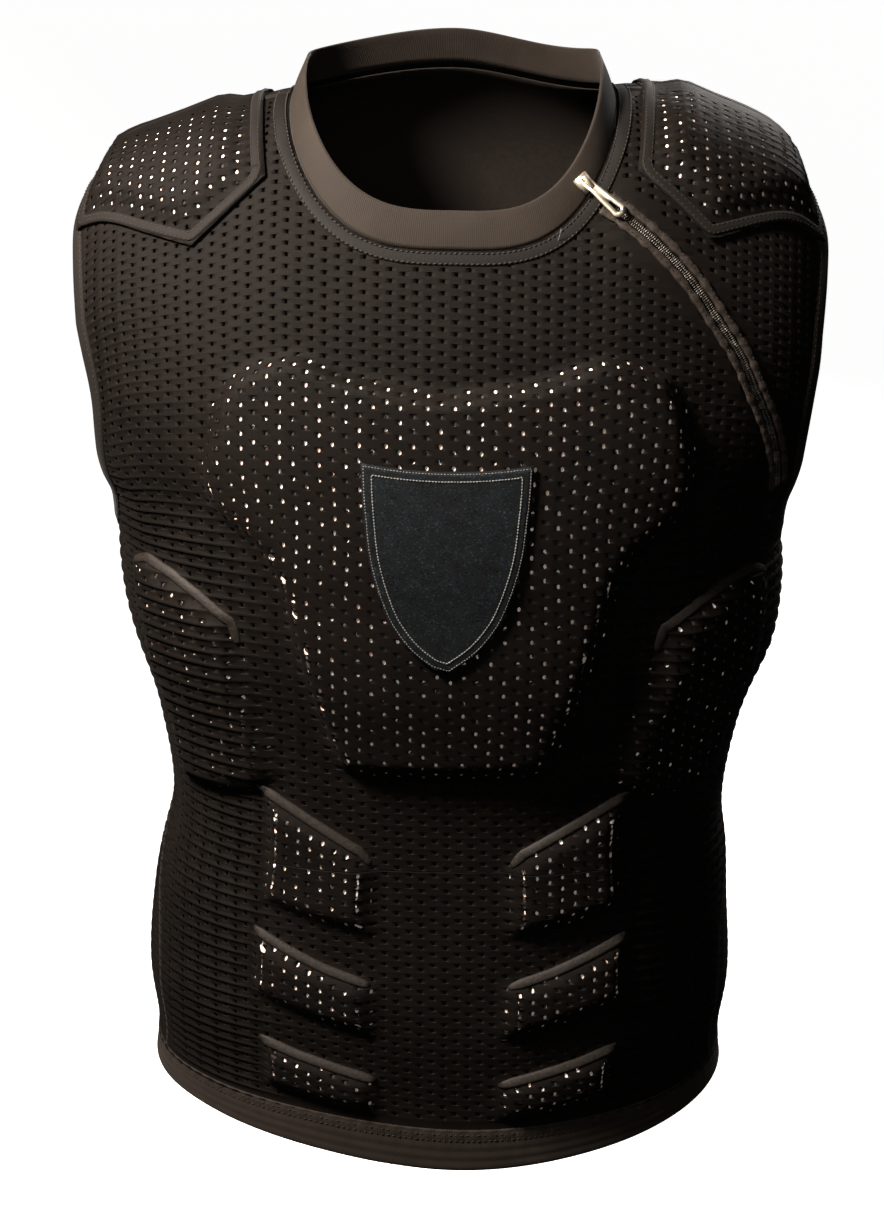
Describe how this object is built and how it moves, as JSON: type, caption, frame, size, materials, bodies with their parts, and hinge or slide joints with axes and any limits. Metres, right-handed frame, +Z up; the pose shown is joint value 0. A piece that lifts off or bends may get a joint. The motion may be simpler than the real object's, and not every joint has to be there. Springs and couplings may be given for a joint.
{
  "type": "back protector",
  "caption": "Sleeveless body protector vest of perforated stretch mesh with foam pads over chest, flanks, belly, spine and shoulders, and a slanting collar zipper.",
  "frame": {"origin": "between the shoulders, in the middle of the neck, at the height of the points where the shoulder seams meet the collar", "axes": "+Z up along the wearer's body, +X to the wearer's left, the front faces -Y"},
  "size_m": [0.4238, 0.2691, 0.6561],
  "materials": {
    "mesh_cloth": "perforated stretch mesh",
    "knit_band": "smooth knit",
    "foam": "closed-cell foam",
    "patch": "felt with fine glitter",
    "zip_coil": "nylon coil",
    "zip_metal": "pale plated zinc"
  },
  "bodies": {
    "vest": {"armhole_binding_left": "knit_band", "armhole_binding_right": "knit_band", "back_panel": "mesh_cloth", "belly_pad_bottom_left": "foam", "belly_pad_bottom_right": "foam", "belly_pad_middle_left": "foam", "belly_pad_middle_right": "foam", "belly_pad_top_left": "foam", "belly_pad_top_right": "foam", "chest_pad": "foam", "chest_patch": "patch", "collar_band": "knit_band", "flank_pad_left": "foam", "flank_pad_right": "foam", "front_panel": "mesh_cloth", "hem_band": "knit_band", "shoulder_cover_left": "mesh_cloth", "shoulder_cover_right": "mesh_cloth", "shoulder_pad_left": "foam", "shoulder_pad_right": "foam", "spine_pad": "foam", "zip_coil": "zip_coil", "zip_piping_arm": "knit_band", "zip_piping_neck": "knit_band", "zip_slider": "zip_metal", "zip_tape": "zip_coil"},
    "puller": {"zip_puller": "zip_metal"}
  },
  "joints": [
    {"name": "puller_swing", "type": "hinge", "parent": "vest", "child": "puller", "pos_m": [0.07291, -0.07393, -0.03787], "axis": [-0.6394, -0.5466, -0.5407], "range_deg": [0, 120]}
  ]
}
